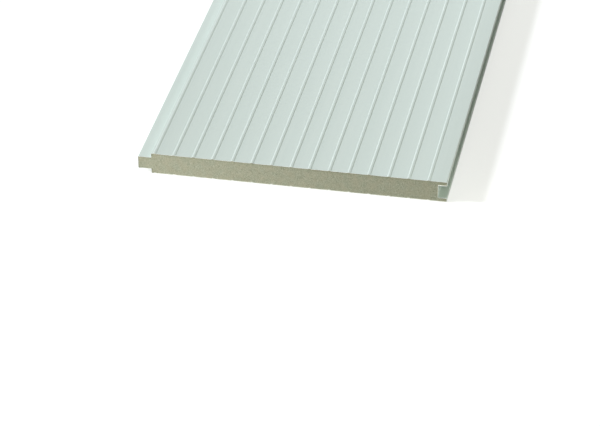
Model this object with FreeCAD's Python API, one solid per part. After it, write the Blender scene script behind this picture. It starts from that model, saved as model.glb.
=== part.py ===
import FreeCAD, Part

import math
import os

# ----------------------------------------------------------------------------------------------
# Insulated sandwich wall panel: two roll-formed steel facings bonded to a rigid foam core.
#
# The section lies in the XZ plane and runs along Y. The tongue points to -X, the groove opens to +X,
# and the panel lies on its inner facing. Origin: centre of the underside's bounding rectangle.
# All sizes are in millimetres.
# ----------------------------------------------------------------------------------------------

# Panel
cover_width = 1000.0          # module from one joint to the next
panel_length = 2000.0
panel_thickness = 75.0        # flat of the outer facing to flat of the inner facing
joint_reveal = 17.0           # shadow gap left between two faces when panels are joined

# Sheets
outer_sheet = 0.6             # steel thickness of the outer facing
inner_sheet = 0.6             # steel thickness of the inner facing
edge_bend_radius = 1.8        # inside radius of the 90 degree folds at the long edges
core_setback = 3.0            # the foam stops this far inside the sheets' cut ends
sheet_break = 3.0             # strip of bare foam between the two sheets, on the nose and in the groove

# Tongue and groove
tongue_length = 44.5          # shoulder to nose
tongue_height = 44.0
side_clearance = 0.8          # groove to tongue, above and below
tip_clearance = 1.5           # nose to groove wall when joined

# Rolled ribs: an even pitch from the shoulder on, with one slightly narrower bay between two groups
rib_pitch = 65.4
narrow_pitch = 60.9
first_group_count = 8         # ribs before the narrower bay
shoulder_flat = 3.4           # flat strip between the shoulder's bend and the first rib
lip_flat = 30.0               # least flat strip between the last rib and the lip
rib_rise_width = 3.8          # a rib's slope on the tongue side
rib_crown_width = 6.2
rib_fall_width = 2.0          # its steeper slope on the groove side
rib_height = 1.6
rib_crown_drop = 0.6          # how far the crown sinks towards the groove side
rib_bend_radius = 0.8         # inside radius of the folds at a rib's feet and crown

# Sizes that follow
face_width = cover_width - joint_reveal
groove_depth = tongue_length - joint_reveal + tip_clearance
groove_height = tongue_height + 2 * side_clearance
total_width = face_width + tongue_length
half_thickness = panel_thickness / 2
x_shoulder = -total_width / 2 + tongue_length
x_nose = x_shoulder - tongue_length
x_lip = x_shoulder + face_width
x_groove_wall = x_lip - groove_depth
rib_base_width = rib_rise_width + rib_crown_width + rib_fall_width


def rib_feet():
    """X of each rib's foot on the tongue side, as many ribs as fit before the flat strip at the lip."""
    feet = []
    x = x_shoulder + edge_bend_radius + outer_sheet + shoulder_flat
    while x + rib_base_width + lip_flat <= x_lip:
        feet.append(x)
        x += narrow_pitch if len(feet) == first_group_count else rib_pitch
    return feet


def facing_route(side):
    """Corners (x, v, inside radius) of a facing's outside surface, from the groove wall to the nose.

    v is the height above the panel's middle plane, counted outwards. side is +1 for the outer facing, whose
    ribs stand out, and -1 for the inner one, whose ribs are pressed up into the core. The core is on the
    left of the route all the way.
    """
    v_edge = sheet_break / 2
    v_groove = groove_height / 2
    v_tongue = tongue_height / 2
    v_face = half_thickness
    route = [
        (x_groove_wall, v_edge, 0),
        (x_groove_wall, v_groove, edge_bend_radius),
        (x_lip, v_groove, edge_bend_radius),
        (x_lip, v_face, edge_bend_radius),
    ]
    v_crown_start = v_face + side * rib_height
    v_crown_end = v_face + side * (rib_height - rib_crown_drop)
    for foot in reversed(rib_feet()):
        route += [
            (foot + rib_base_width, v_face, rib_bend_radius),
            (foot + rib_rise_width + rib_crown_width, v_crown_end, rib_bend_radius),
            (foot + rib_rise_width, v_crown_start, rib_bend_radius),
            (foot, v_face, rib_bend_radius),
        ]
    route += [
        (x_shoulder, v_face, edge_bend_radius),
        (x_shoulder, v_tongue, edge_bend_radius),
        (x_nose, v_tongue, edge_bend_radius),
        (x_nose, v_edge, 0),
    ]
    return route


def direction(start, end):
    length = math.hypot(end[0] - start[0], end[1] - start[1])
    return (end[0] - start[0]) / length, (end[1] - start[1]) / length


def folded_line(route, inset, sheet):
    """Corners (x, v, radius) of the line that runs at a distance inset to the left of the route.

    Bends keep one centre through the sheet: a bend towards the core has the sheet's thickness added on the
    outside surface, a bend away from it has it added on the core's side.
    """
    corners = []
    for index, (x, v, inside_radius) in enumerate(route):
        here = (x, v)
        before = direction(route[index - 1], here) if index > 0 else direction(here, route[index + 1])
        after = direction(here, route[index + 1]) if index < len(route) - 1 else before
        turn = before[0] * after[1] - before[1] * after[0]
        cosine = before[0] * after[0] + before[1] * after[1]
        normal = (-before[1] - after[1], before[0] + after[0])
        scale = inset / (1 + cosine)
        if inside_radius == 0:
            radius = 0
        elif turn > 0:
            radius = inside_radius + sheet - inset
        else:
            radius = inside_radius + inset
        corners.append((x + normal[0] * scale, v + normal[1] * scale, radius))
    return corners


def rounded_edges(corners, side):
    """Straight runs joined by tangent arcs. side is +1 for the outer half of the panel, -1 for the inner."""
    def point(x, v):
        return FreeCAD.Vector(x, -panel_length / 2, half_thickness + side * v)

    edges = []
    last = corners[0][:2]
    for before, corner, after in zip(corners, corners[1:], corners[2:]):
        arriving = direction(before, corner)
        leaving = direction(corner, after)
        bisector = (leaving[0] - arriving[0], leaving[1] - arriving[1])
        bisector_length = math.hypot(*bisector)
        half_turn = math.asin(bisector_length / 2)
        radius = corner[2]
        tangent = radius * math.tan(half_turn)
        sagitta = radius / math.cos(half_turn) - radius
        start = (corner[0] - arriving[0] * tangent, corner[1] - arriving[1] * tangent)
        middle = tuple(corner[k] + bisector[k] / bisector_length * sagitta for k in (0, 1))
        end = (corner[0] + leaving[0] * tangent, corner[1] + leaving[1] * tangent)
        edges.append(Part.LineSegment(point(*last), point(*start)).toShape())
        edges.append(Part.Arc(point(*start), point(*middle), point(*end)).toShape())
        last = end
    edges.append(Part.LineSegment(point(*last), point(*corners[-1][:2])).toShape())
    return edges


def first_point(edges):
    return edges[0].firstVertex().Point


def last_point(edges):
    return edges[-1].lastVertex().Point


def prism(edges, setback):
    """Closes the section's edges into a face and extrudes it along the panel, short by setback at each end."""
    section = Part.Face(Part.Wire(Part.sortEdges(edges)[0]))
    section.translate(FreeCAD.Vector(0, setback, 0))
    return section.extrude(FreeCAD.Vector(0, panel_length - 2 * setback, 0))


def facing(side, sheet):
    """One roll-formed sheet: its outside and core-side surfaces joined at the two free edges."""
    route = facing_route(side)
    outside = rounded_edges(folded_line(route, 0, sheet), side)
    inside = rounded_edges(folded_line(route, sheet, sheet), side)
    hems = [
        Part.LineSegment(first_point(outside), first_point(inside)).toShape(),
        Part.LineSegment(last_point(outside), last_point(inside)).toShape(),
    ]
    return prism(outside + inside + hems, 0)


def foam_core():
    """The block of foam that fills the space between the two sheets."""
    upper = rounded_edges(folded_line(facing_route(1), outer_sheet, outer_sheet), 1)
    lower = rounded_edges(folded_line(facing_route(-1), inner_sheet, inner_sheet), -1)
    groove_strip = Part.LineSegment(first_point(upper), first_point(lower)).toShape()
    nose_strip = Part.LineSegment(last_point(upper), last_point(lower)).toShape()
    return prism(upper + lower + [groove_strip, nose_strip], core_setback)


os.makedirs("parts", exist_ok=True)
pieces = {
    "outer_facing": facing(1, outer_sheet),
    "inner_facing": facing(-1, inner_sheet),
    "foam_core": foam_core(),
}
for node, shape in pieces.items():
    shape.exportStep("parts/" + node + ".step")
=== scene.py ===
"""Looks of the insulated sandwich panel, built round its CAD frame. All lengths are in metres.

The panel lies on its inner facing. Its section is in the XZ plane and runs along Y; the tongue points to -X
and the groove opens to +X.
"""
import math
import random

import bpy
from mathutils import Matrix, Vector, kdtree, noise
from mathutils.geometry import delaunay_2d_cdt


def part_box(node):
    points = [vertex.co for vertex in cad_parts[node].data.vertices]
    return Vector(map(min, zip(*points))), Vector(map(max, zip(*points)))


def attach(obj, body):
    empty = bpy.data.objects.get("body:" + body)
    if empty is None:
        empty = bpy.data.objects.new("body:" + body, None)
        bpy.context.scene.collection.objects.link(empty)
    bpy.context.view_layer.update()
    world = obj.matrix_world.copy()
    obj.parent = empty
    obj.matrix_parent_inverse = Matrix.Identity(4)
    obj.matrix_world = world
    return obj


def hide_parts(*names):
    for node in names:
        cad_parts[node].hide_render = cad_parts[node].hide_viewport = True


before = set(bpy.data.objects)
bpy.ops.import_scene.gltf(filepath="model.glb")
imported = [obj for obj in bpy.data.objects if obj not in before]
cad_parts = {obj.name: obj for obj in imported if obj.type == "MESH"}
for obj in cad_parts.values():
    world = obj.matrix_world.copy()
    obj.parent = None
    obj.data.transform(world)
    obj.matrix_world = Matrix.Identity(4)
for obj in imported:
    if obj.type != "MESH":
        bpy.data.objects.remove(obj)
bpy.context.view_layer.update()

MM = 0.001
random.seed(7)

# ---------------------------------------------------------------------------------------------------------
# Sizes
# ---------------------------------------------------------------------------------------------------------

# From the frame
outer_low, outer_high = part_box("outer_facing")
inner_low, inner_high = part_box("inner_facing")
core_low, core_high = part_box("foam_core")

x_nose = outer_low.x
x_lip = outer_high.x
y_front = outer_low.y
y_back = outer_high.y
sheet = core_low.x - outer_low.x
z_middle = (outer_low.z + inner_high.z) / 2
half_thickness = z_middle - inner_low.z
sheet_break = outer_low.z - inner_high.z

# Tongue and groove
tongue_length = 44.5 * MM
tongue_height = 44.0 * MM
groove_depth = 29.0 * MM
groove_height = 45.6 * MM
edge_bend_radius = 1.8 * MM
x_shoulder = x_nose + tongue_length
x_groove_wall = x_lip - groove_depth

# Rolled ribs
rib_pitch = 65.4 * MM
narrow_pitch = 60.9 * MM
first_group_count = 8
rib_count = 15
first_rib_foot = 5.8 * MM         # shoulder to the first rib
rib_rise_width = 3.8 * MM
rib_crown_width = 6.2 * MM
rib_fall_width = 2.0 * MM
rib_height = 1.6 * MM
rib_crown_drop = 0.6 * MM
rib_bend_radius = 0.8 * MM
rib_base_width = rib_rise_width + rib_crown_width + rib_fall_width

# Finish of the sheets
edge_bend_steps = 8
rib_bend_steps = 4
cut_round = 0.12 * MM             # round on the sheets' cut ends
station_gap = 50 * MM             # from one ring of points to the next along a sheet

# Grain of the sawn foam ends
outline_step = 2.2 * MM           # between points along the outline's straight runs
merge_distance = 1e-7             # points of an end that lie nearer than this are one
grain_spacing = 1.75 * MM
grain_margin = 0.9 * MM           # least distance to the outline, and between two open cells
grain_clearance = 0.3 * grain_spacing    # least distance to an open cell's rim
grain_jitter = (0.1, 0.9)         # where a grain point may lie in its square
grain_relief = 0.16 * MM
grain_wave = 5 * MM               # size of the slow swell in the grain's depth
grain_unevenness = (-0.5, 0.5)    # share of the relief that each point goes its own way

# Open cells of the sawn foam ends
pit_count = 900
pit_radius_range = (0.6 * MM, 2.1 * MM)
pit_shrink_range = (0.6, 1.0)     # makes small ones more frequent
pit_depth_range = (0.5, 0.9)      # shares of the radius
pit_squash_range = (0.75, 1.0)    # an oval's short axis over its long one
pit_wobble_range = (0.88, 1.0)    # unevenness of its rings
pit_rings = (                     # share of the radius, share of the depth, number of points
    (1.0, 0.0, 9),
    (0.72, 0.75, 7),
    (0.0, 1.0, 1),
)

# ---------------------------------------------------------------------------------------------------------
# Colours
# ---------------------------------------------------------------------------------------------------------

paint_pale = (0.615, 0.690, 0.665)
paint_deep = (0.585, 0.665, 0.640)
primer_pale = (0.82, 0.83, 0.80)
primer_deep = (0.72, 0.73, 0.70)
steel_bright = (0.86, 0.88, 0.87)
steel_dull = (0.62, 0.64, 0.63)
foam_pale = (0.405, 0.410, 0.345)
foam_middle = (0.252, 0.262, 0.207)
foam_deep = (0.118, 0.125, 0.083)
foam_cloud = (0.29, 0.27, 0.205)
foam_cell = (0.12, 0.12, 0.085)
# painted shade for the bottoms of the foam's open cells
foam_pit_shade = (0.055, 0.06, 0.03)


# ---------------------------------------------------------------------------------------------------------
# Section
# ---------------------------------------------------------------------------------------------------------

def rib_feet():
    """X of each rib's foot on the tongue side, from that side on."""
    feet = [x_shoulder + first_rib_foot]
    while len(feet) < rib_count:
        pitch = narrow_pitch if len(feet) == first_group_count else rib_pitch
        feet.append(feet[-1] + pitch)
    return feet


def facing_route(side):
    """Corners (x, v, inside radius) of a facing's outside surface, from the groove wall to the nose.

    v is the height above the middle plane, counted outwards. side is +1 for the outer facing, whose ribs
    stand out, and -1 for the inner one, whose ribs are pressed up into the core.
    """
    v_edge = sheet_break / 2
    v_groove = groove_height / 2
    v_tongue = tongue_height / 2
    v_face = half_thickness
    route = [
        (x_groove_wall, v_edge, 0),
        (x_groove_wall, v_groove, edge_bend_radius),
        (x_lip, v_groove, edge_bend_radius),
        (x_lip, v_face, edge_bend_radius),
    ]
    v_crown_start = v_face + side * rib_height
    v_crown_end = v_face + side * (rib_height - rib_crown_drop)
    for foot in reversed(rib_feet()):
        route += [
            (foot + rib_base_width, v_face, rib_bend_radius),
            (foot + rib_rise_width + rib_crown_width, v_crown_end, rib_bend_radius),
            (foot + rib_rise_width, v_crown_start, rib_bend_radius),
            (foot, v_face, rib_bend_radius),
        ]
    route += [
        (x_shoulder, v_face, edge_bend_radius),
        (x_shoulder, v_tongue, edge_bend_radius),
        (x_nose, v_tongue, edge_bend_radius),
        (x_nose, v_edge, 0),
    ]
    return route


def direction(start, end):
    """Unit vector from one corner of a route to another."""
    return (Vector(end[:2]) - Vector(start[:2])).normalized()


def section_line(side, inset):
    """Points (x, v) of the line that runs at a distance inset inside a facing's outside surface.

    Bends keep one centre through the sheet: a bend towards the core has the sheet's thickness added on the
    outside surface, a bend away from it has it added on the core's side.
    """
    route = facing_route(side)
    points = []
    for index, (x, v, inside_radius) in enumerate(route):
        here = (x, v)
        before = direction(route[index - 1], here) if index > 0 else direction(here, route[index + 1])
        after = direction(here, route[index + 1]) if index < len(route) - 1 else before
        normal = Vector((-before.y - after.y, before.x + after.x))
        corner = Vector(here) + normal * inset / (1 + before.dot(after))
        if inside_radius == 0:
            points.append(corner)
            continue
        turns_inwards = before.cross(after) > 0
        radius = inside_radius + (sheet - inset if turns_inwards else inset)
        steps = edge_bend_steps if inside_radius == edge_bend_radius else rib_bend_steps
        points += bend(corner, before, after, radius, steps)
    return points


def bend(corner, before, after, radius, steps):
    """Points of the arc of that radius that rounds a corner between two directions."""
    half_turn = math.acos(max(-1, min(1, before.dot(after)))) / 2
    tangent = radius * math.tan(half_turn)
    centre = corner + (after - before).normalized() * radius / math.cos(half_turn)
    start = corner - before * tangent - centre
    turn = math.copysign(2 * half_turn, before.cross(after))
    arc = []
    for step in range(steps + 1):
        spun = Matrix.Rotation(turn * step / steps, 2) @ start
        arc.append(centre + spun)
    return arc


# ---------------------------------------------------------------------------------------------------------
# Meshes
# ---------------------------------------------------------------------------------------------------------

def make_object(name, vertices, faces, materials, face_materials, sharp_angle=30):
    """Smooth-shaded object with an edge wherever two faces meet at more than sharp_angle degrees."""
    mesh = bpy.data.meshes.new(name)
    mesh.from_pydata(vertices, [], faces)
    for material in materials:
        mesh.materials.append(material)
    mesh.polygons.foreach_set("material_index", face_materials)
    mesh.polygons.foreach_set("use_smooth", [True] * len(faces))
    mesh.set_sharp_from_angle(angle=math.radians(sharp_angle))
    mesh.update()
    piece = bpy.data.objects.new(name, mesh)
    bpy.context.scene.collection.objects.link(piece)
    return piece


def stations():
    """(y, inset) of each ring along a sheet: its cut ends are broken by a tiny round."""
    count = round((y_back - y_front) / station_gap)
    rings = [(y_front, cut_round), (y_front + cut_round, 0)]
    rings += [(y_front + (y_back - y_front) * k / count, 0) for k in range(1, count)]
    rings += [(y_back - cut_round, 0), (y_back, cut_round)]
    return rings


def facing(name, side, materials):
    """One roll-formed sheet, as a tube of rings round its section that is closed at both cut ends.

    materials are those of its outside, of the side that the core is bonded to, and of its cut edges.
    """
    outer_side, core_side, cut_edge = range(3)
    vertices = []
    for y, inset in stations():
        outside = section_line(side, inset)
        inside = section_line(side, sheet - inset)
        for x, v in outside + inside[::-1]:
            vertices.append((x, y, z_middle + side * v))
    line = len(section_line(side, 0))
    loop = 2 * line
    ring_count = len(stations())
    faces = []
    kinds = []

    def add(face, kind):
        faces.append(face if side > 0 else face[::-1])
        kinds.append(kind)

    for ring in range(ring_count - 1):
        cut_end = ring in (0, ring_count - 2)
        for k in range(loop):
            a = ring * loop + k
            b = ring * loop + (k + 1) % loop
            free_edge = k in (line - 1, loop - 1)
            if cut_end or free_edge:
                kind = cut_edge
            else:
                kind = outer_side if k < line else core_side
            add((a, b, b + loop, a + loop), kind)
    back = (ring_count - 1) * loop
    for k in range(line - 1):
        opposite = loop - 1 - k
        add((k, opposite, opposite - 1, k + 1), cut_edge)
        add((back + k, back + k + 1, back + opposite - 1, back + opposite), cut_edge)
    return make_object(name, vertices, faces, materials, kinds)


def core_outline():
    """The foam's outline as a closed loop of points (x, z), with its long straight runs divided."""
    upper = [Vector((x, z_middle + v)) for x, v in section_line(1, sheet)]
    lower = [Vector((x, z_middle - v)) for x, v in section_line(-1, sheet)]
    loop = upper + lower[::-1]
    divided = []
    for start, end in zip(loop, loop[1:] + loop[:1]):
        count = max(1, round((end - start).length / outline_step))
        divided += [start.lerp(end, k / count) for k in range(count)]
    return divided


def inside_core(x, z, margin):
    """True if a point lies in the foam's section, at least a margin from its outline."""
    skin = sheet + margin
    v = abs(z - z_middle)
    if x < x_nose + skin or x > x_lip - skin:
        return False
    if x < x_shoulder + skin:
        return v < tongue_height / 2 - skin
    if v > half_thickness - skin:
        return False
    if z < z_middle and v > half_thickness - skin - rib_height:
        if any(foot - margin < x < foot + rib_base_width + margin for foot in rib_feet()):
            return False
    if x > x_groove_wall - skin:
        return v > groove_height / 2 + skin
    return True


def flat_tree(spots):
    """Search tree of spots by their first two values, x and z."""
    tree = kdtree.KDTree(len(spots))
    for index, spot in enumerate(spots):
        tree.insert((spot[0], spot[1], 0), index)
    tree.balance()
    return tree


def scattered_pits():
    """Centre and radius (x, z, radius) of open cells that keep clear of the outline and of each other."""
    pits = []
    while len(pits) < pit_count:
        x = random.uniform(x_nose, x_lip)
        z = random.uniform(inner_low.z, outer_high.z)
        radius = random.uniform(*pit_radius_range) * random.uniform(*pit_shrink_range)
        if inside_core(x, z, radius + grain_margin):
            pits.append((x, z, radius))
    tree = flat_tree(pits)
    reach = 2 * (pit_radius_range[1] + grain_margin)
    kept = []
    for index, (x, z, radius) in enumerate(pits):
        near = tree.find_range((x, z, 0), reach)
        if not any(i in kept and gap < radius + pits[i][2] + grain_margin for _, i, gap in near):
            kept.append(index)
    return [pits[i] for i in kept]


def pit_points(x, z, radius):
    """Points (x, z, depth, pit) of one open cell: an uneven oval rim, a ring down its side, its bottom."""
    depth = radius * random.uniform(*pit_depth_range)
    spin = random.uniform(0, math.tau)
    squash = random.uniform(*pit_squash_range)
    tilt = random.uniform(0, math.pi)
    points = []
    for share, sink, count in pit_rings:
        for k in range(count):
            angle = spin + math.tau * k / count
            reach = share * radius * random.uniform(*pit_wobble_range)
            dx = math.cos(angle) * reach
            dz = math.sin(angle) * reach * squash
            px = x + dx * math.cos(tilt) - dz * math.sin(tilt)
            pz = z + dx * math.sin(tilt) + dz * math.cos(tilt)
            points.append((px, pz, depth * sink, sink))
    return points


def grain_points(pits):
    """Points (x, z, depth, pit) of the fine grain between the open cells."""
    tree = flat_tree(pits)
    columns = int((x_lip - x_nose) / grain_spacing)
    rows = int((outer_high.z - inner_low.z) / grain_spacing)
    points = []
    for i in range(columns):
        for j in range(rows):
            x = x_nose + (i + random.uniform(*grain_jitter)) * grain_spacing
            z = inner_low.z + (j + random.uniform(*grain_jitter)) * grain_spacing
            if not inside_core(x, z, grain_margin):
                continue
            _, index, gap = tree.find((x, z, 0))
            if gap < pits[index][2] + grain_clearance:
                continue
            swell = noise.noise(Vector((x, 0, z)) / grain_wave)
            depth = grain_relief * (1 + swell + random.uniform(*grain_unevenness))
            points.append((x, z, depth, 0.0))
    return points


def sawn_end(outline):
    """Points (x, z, depth, pit) of one sawn end of the foam: its outline, open cells and a fine grain.

    pit is 0 at the surface and 1 at the bottom of an open cell.
    """
    points = [(p.x, p.y, 0.0, 0.0) for p in outline]
    pits = scattered_pits()
    for pit in pits:
        points += pit_points(*pit)
    return points + grain_points(pits)


def foam_block(name, materials):
    """The foam: two sawn ends with relief, joined by its smooth moulded sides."""
    outline = core_outline()
    count = len(outline)
    ring = [(k, (k + 1) % count) for k in range(count)]
    triangles_inside = 1    # output type: only the triangles within the outline
    vertices = []
    faces = []
    pits = []
    rims = []
    for y, inwards in ((core_low.y, 1), (core_high.y, -1)):
        points = sawn_end(outline)
        plane = [Vector((x, z)) for x, z, _, _ in points]
        flat, _, triangles, sources, _, _ = delaunay_2d_cdt(plane, ring, [], triangles_inside, merge_distance)
        start = len(vertices)
        placed = {source[0]: start + k for k, source in enumerate(sources) if source}
        rims.append([placed[k] for k in range(count)])
        for point, source in zip(flat, sources):
            depth, pit = points[source[0]][2:] if source else (0.0, 0.0)
            vertices.append((point.x, y + inwards * depth, point.y))
            pits.append(pit)
        for triangle in triangles:
            face = tuple(start + k for k in triangle)
            faces.append(face if inwards > 0 else face[::-1])
    front, back = rims
    for a, b in ring:
        faces.append((front[a], back[a], back[b], front[b]))
    piece = make_object(name, vertices, faces, materials, [0] * len(faces), sharp_angle=60)
    # share of each point's depth in its open cell, the mask for the painted shade in the foam's material
    attribute = piece.data.attributes.new("pit", "FLOAT", "POINT")
    attribute.data.foreach_set("value", pits)
    return piece


# ---------------------------------------------------------------------------------------------------------
# Materials
# ---------------------------------------------------------------------------------------------------------

class Nodes:
    """A material's node tree, with short ways to add and join nodes."""

    def __init__(self, name):
        self.material = bpy.data.materials.new(name)
        self.material.use_nodes = True
        self.tree = self.material.node_tree
        self.shader = self.tree.nodes["Principled BSDF"]
        self.place = self.tree.nodes.new("ShaderNodeTexCoord").outputs["Object"]

    def add(self, kind, **settings):
        node = self.tree.nodes.new(kind)
        for key, value in settings.items():
            setattr(node, key, value)
        return node

    def join(self, source, target):
        self.tree.links.new(source, target)

    def stretched(self, scale):
        """Coordinates multiplied by scale along each axis."""
        mapping = self.add("ShaderNodeMapping")
        mapping.inputs["Scale"].default_value = scale
        self.join(self.place, mapping.inputs["Vector"])
        return mapping.outputs["Vector"]

    def noise(self, scale, detail, roughness=0.5, place=None):
        node = self.add("ShaderNodeTexNoise")
        node.inputs["Scale"].default_value = scale
        node.inputs["Detail"].default_value = detail
        node.inputs["Roughness"].default_value = roughness
        self.join(place or self.place, node.inputs["Vector"])
        return node.outputs["Fac"]

    def cells(self, scale):
        node = self.add("ShaderNodeTexVoronoi")
        node.inputs["Scale"].default_value = scale
        self.join(self.place, node.inputs["Vector"])
        return node.outputs["Distance"]

    def ramp(self, source, stops):
        """Colour ramp through stops (position, colour)."""
        node = self.add("ShaderNodeValToRGB")
        ramp = node.color_ramp
        for extra in stops[2:]:
            ramp.elements.new(extra[0])
        for element, (position, colour) in zip(ramp.elements, sorted(stops)):
            element.position = position
            element.color = (*colour, 1)
        self.join(source, node.inputs["Fac"])
        return node.outputs["Color"]

    def spread(self, source, low, high, source_low=0.0, source_high=1.0):
        """Maps source_low to low and source_high to high."""
        node = self.add("ShaderNodeMapRange")
        node.inputs["From Min"].default_value = source_low
        node.inputs["From Max"].default_value = source_high
        node.inputs["To Min"].default_value = low
        node.inputs["To Max"].default_value = high
        self.join(source, node.inputs["Value"])
        return node.outputs["Result"]

    def mix(self, factor, first, second):
        """Colour mix. Each value is a number, a colour or a socket.

        The node's colour sockets A and B are inputs 6 and 7, and its colour result is output 2.
        """
        node = self.add("ShaderNodeMix", data_type="RGBA")
        for value, socket in ((factor, node.inputs[0]), (first, node.inputs[6]), (second, node.inputs[7])):
            self.feed(value, socket)
        return node.outputs[2]

    def bump(self, height, distance, strength, under=None):
        node = self.add("ShaderNodeBump")
        node.inputs["Distance"].default_value = distance
        node.inputs["Strength"].default_value = strength
        self.join(height, node.inputs["Height"])
        if under is not None:
            self.join(under, node.inputs["Normal"])
        return node.outputs["Normal"]

    def feed(self, value, socket):
        """Gives a socket a number, a colour or another socket's value."""
        if isinstance(value, (int, float)):
            socket.default_value = value
        elif isinstance(value, tuple):
            socket.default_value = (*value, 1)
        else:
            self.join(value, socket)

    def set(self, **values):
        """Sets the shader's sockets by their names, with _ for a space."""
        for name, value in values.items():
            self.feed(value, self.shader.inputs[name.replace("_", " ")])


def coil_coating(name):
    """Pale polyester coating: satin, with a faint orange peel and the slightest mottling."""
    nodes = Nodes(name)
    mottle = nodes.noise(scale=7.0, detail=4.0)
    streak = nodes.noise(scale=1.0, detail=3.0, place=nodes.stretched((60.0, 1.2, 60.0)))
    peel = nodes.noise(scale=700.0, detail=1.0)
    shade = nodes.mix(0.5, mottle, streak)
    nodes.set(
        Base_Color=nodes.ramp(shade, [(0.35, paint_deep), (0.65, paint_pale)]),
        Roughness=nodes.spread(mottle, 0.34, 0.40, source_low=0.3, source_high=0.7),
        Normal=nodes.bump(peel, distance=0.01 * MM, strength=0.3),
    )
    return nodes.material


def backing_coat(name):
    """Thin primer on the side of the sheet that the foam bonds to."""
    nodes = Nodes(name)
    mottle = nodes.noise(scale=120.0, detail=3.0)
    nodes.set(
        Base_Color=nodes.ramp(mottle, [(0.3, primer_deep), (0.7, primer_pale)]),
        Roughness=nodes.spread(mottle, 0.5, 0.7),
    )
    return nodes.material


def cut_steel(name):
    """Sheared edge of zinc-coated steel: bright, with fine drag lines across the sheet."""
    nodes = Nodes(name)
    drag = nodes.noise(scale=1.0, detail=3.0, place=nodes.stretched((2500.0, 300.0, 500.0)))
    nodes.set(
        Base_Color=nodes.ramp(drag, [(0.3, steel_dull), (0.7, steel_bright)]),
        Roughness=nodes.spread(drag, 0.3, 0.5),
        Metallic=0.6,
    )
    return nodes.material


def sawn_foam(name):
    """Rigid foam with fine cells, open pits with painted shade towards their bottoms, darker grains and faint
    upright saw lines.
    """
    nodes = Nodes(name)
    cells = nodes.cells(scale=420.0)
    grain = nodes.noise(scale=260.0, detail=6.0, roughness=0.75)
    cloud = nodes.noise(scale=35.0, detail=4.0)
    saw = nodes.noise(scale=1.0, detail=2.0, place=nodes.stretched((520.0, 1.0, 14.0)))
    pit = nodes.add("ShaderNodeAttribute", attribute_name="pit").outputs["Fac"]
    body = nodes.ramp(grain, [(0.3, foam_deep), (0.5, foam_middle), (0.72, foam_pale)])
    clouding = nodes.spread(cloud, 0.0, 0.5, source_low=0.35, source_high=0.65)
    clouded = nodes.mix(clouding, body, foam_cloud)
    celling = nodes.spread(cells, 0.0, 0.25, source_low=0.1, source_high=0.7)
    celled = nodes.mix(celling, clouded, foam_cell)
    # painted shade: the open cells darken towards their bottoms, where shade falls in the hollows
    pit_shaded = nodes.mix(nodes.spread(pit, 0.0, 0.55), celled, foam_pit_shade)
    relief = nodes.bump(cells, distance=0.35 * MM, strength=0.6)
    nodes.set(
        Base_Color=pit_shaded,
        Roughness=nodes.spread(grain, 0.85, 1.0),
        Normal=nodes.bump(saw, distance=0.25 * MM, strength=0.5, under=relief),
        Specular_IOR_Level=0.2,
    )
    return nodes.material


# ---------------------------------------------------------------------------------------------------------
# The object
# ---------------------------------------------------------------------------------------------------------

outer_paint = coil_coating("outer_paint")
inner_paint = coil_coating("inner_paint")
backing = backing_coat("backing_coat")
steel = cut_steel("cut_steel")
foam = sawn_foam("sawn_foam")

outer_sheet = facing("outer_sheet", 1, [outer_paint, backing, steel])
inner_sheet = facing("inner_sheet", -1, [inner_paint, backing, steel])
core_block = foam_block("core_block", [foam])

for piece, node, slot in (
    (outer_sheet, "outer_facing", "outer_paint"),
    (inner_sheet, "inner_facing", "inner_paint"),
    (core_block, "foam_core", "foam"),
):
    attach(piece, "root")
    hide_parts(node)

# ---------------------------------------------------------------------------------------------------------
# Stage, light and camera
# ---------------------------------------------------------------------------------------------------------

floor_size = 60.0
floor_drop = 0.05 * MM
floor_albedo = 0.5
floor_glow = 0.63                 # added to the lit floor wherever it is seen, so that it shows as white
sky_colour = (0.95, 1.0, 0.76)
sky_strength = 0.10
camera_azimuth = math.radians(11.51)
camera_elevation = math.radians(32.08)
camera_roll = math.radians(-0.40)
camera_distance = 9.089
camera_lens = 169.4               # mm
sensor_width = 36.0               # mm
aim = Vector((0.0598, y_front - 0.152, 0.0))


def seen_rays(tree):
    """1 for rays that show a surface to the eye, straight or by reflection, and 0 for rays that light one."""
    path = tree.nodes.new("ShaderNodeLightPath")
    either = path.outputs["Is Camera Ray"]
    for other in ("Is Glossy Ray", "Is Transmission Ray"):
        node = tree.nodes.new("ShaderNodeMath")
        node.operation = "MAXIMUM"
        tree.links.new(either, node.inputs[0])
        tree.links.new(path.outputs[other], node.inputs[1])
        either = node.outputs[0]
    return either


def white_floor():
    """Plain floor that shows as white and keeps the object's shadow."""
    nodes = Nodes("floor")
    nodes.set(Base_Color=(floor_albedo,) * 3, Roughness=0.9, Specular_IOR_Level=0.1)
    glow = nodes.add("ShaderNodeEmission")
    strength = nodes.spread(seen_rays(nodes.tree), 0.0, floor_glow)
    nodes.join(strength, glow.inputs["Strength"])
    total = nodes.add("ShaderNodeAddShader")
    nodes.join(nodes.shader.outputs[0], total.inputs[0])
    nodes.join(glow.outputs[0], total.inputs[1])
    output = nodes.tree.nodes["Material Output"]
    nodes.join(total.outputs[0], output.inputs["Surface"])
    return nodes.material


def stage_floor():
    half = floor_size / 2
    corners = [(x * half, y * half, -floor_drop) for x, y in ((-1, -1), (1, -1), (1, 1), (-1, 1))]
    floor = make_object("floor", corners, [(0, 1, 2, 3)], [white_floor()], [0])


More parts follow.
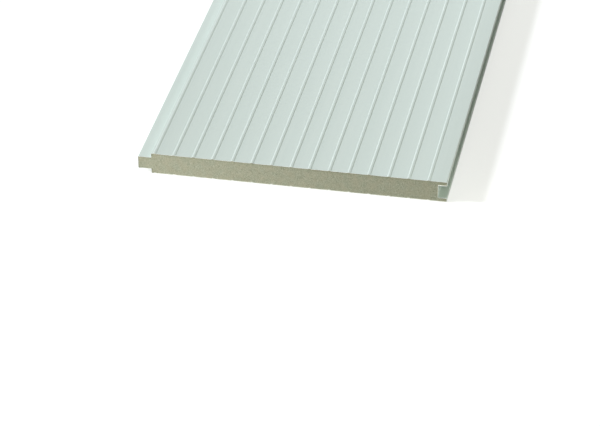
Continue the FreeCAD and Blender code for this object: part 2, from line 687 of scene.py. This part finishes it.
def world_light():
    """White to the eye and to reflections, and a dimmer tone that lights the object."""
    world = bpy.data.worlds.new("studio")
    bpy.context.scene.world = world
    world.use_nodes = True
    tree = world.node_tree
    dim = tree.nodes["Background"]
    dim.inputs["Color"].default_value = (*sky_colour, 1)
    dim.inputs["Strength"].default_value = sky_strength
    white = tree.nodes.new("ShaderNodeBackground")
    white.inputs["Strength"].default_value = 1.0
    pick = tree.nodes.new("ShaderNodeMixShader")
    tree.links.new(seen_rays(tree), pick.inputs[0])
    tree.links.new(dim.outputs[0], pick.inputs[1])
    tree.links.new(white.outputs[0], pick.inputs[2])
    tree.links.new(pick.outputs[0], tree.nodes["World Output"].inputs["Surface"])


def place_lamp(name, data, towards, place=(0, 0, 0), mirrored=False):
    """Lamp at place, shining along a direction. Only a mirrored one puts a sheen on glossy surfaces."""
    lamp = bpy.data.objects.new(name, data)
    lamp.location = place
    lamp.rotation_mode = "QUATERNION"
    lamp.rotation_quaternion = Vector(towards).to_track_quat("-Z", "Y")
    lamp.visible_camera = False
    lamp.visible_glossy = mirrored
    bpy.context.scene.collection.objects.link(lamp)


def softbox(name, place, target, size, watts, colour, mirrored=False):
    """Square area light at place, facing target."""
    data = bpy.data.lights.new(name, "AREA")
    data.shape = "SQUARE"
    data.size = size
    data.energy = watts
    data.color = colour
    place_lamp(name, data, Vector(target) - Vector(place), place, mirrored)


def sun(name, towards, angle, strength, colour):
    """Distant light as soft as its angle in degrees, shining along a direction."""
    data = bpy.data.lights.new(name, "SUN")
    data.angle = math.radians(angle)
    data.energy = strength
    data.color = colour
    place_lamp(name, data, towards)


def studio_lights():
    """Two suns that shape ribs and end, softboxes low beside the end's corners, and a large one behind."""
    sun("key", towards=(0.85, 0.15, -0.50), angle=8.0, strength=3.25, colour=(0.99, 1.0, 1.07))
    sun("front", towards=(-0.1, 0.85, -0.52), angle=35.0, strength=1.15, colour=(0.95, 1.0, 0.76))
    softbox(
        "low",
        place=(-0.9, y_front - 1.5, 0.15),
        target=(-0.3, y_front, 0.03),
        size=0.25,
        watts=27.0,
        colour=(1.0, 1.0, 0.96),
    )
    softbox(
        "back",
        place=(-0.25, y_back + 2.0, 2.2),
        target=(0.0, -0.4, 0.07),
        size=2.4,
        watts=23.0,
        colour=(0.94, 1.0, 1.04),
        mirrored=True,
    )
    softbox(
        "side",
        place=(x_lip + 0.40, y_front - 0.12, 0.10),
        target=(x_lip, y_front + 0.03, 0.04),
        size=0.15,
        watts=0.7,
        colour=(1.0, 1.0, 0.85),
    )


def shooting_camera():
    """Camera that looks at the aim from camera_distance away, turned to the right of the front and raised."""
    data = bpy.data.cameras.new("camera")
    data.lens = camera_lens
    data.sensor_width = sensor_width
    camera = bpy.data.objects.new("camera", data)
    back = Vector((
        math.sin(camera_azimuth) * math.cos(camera_elevation),
        -math.cos(camera_azimuth) * math.cos(camera_elevation),
        math.sin(camera_elevation),
    ))
    camera.location = aim + back * camera_distance
    camera.rotation_mode = "QUATERNION"
    level = (-back).to_track_quat("-Z", "Y")
    camera.rotation_quaternion = level @ Matrix.Rotation(camera_roll, 3, "Z").to_quaternion()
    bpy.context.scene.collection.objects.link(camera)
    bpy.context.scene.camera = camera


stage_floor()
world_light()
studio_lights()
shooting_camera()
bpy.context.scene.view_settings.view_transform = "Standard"
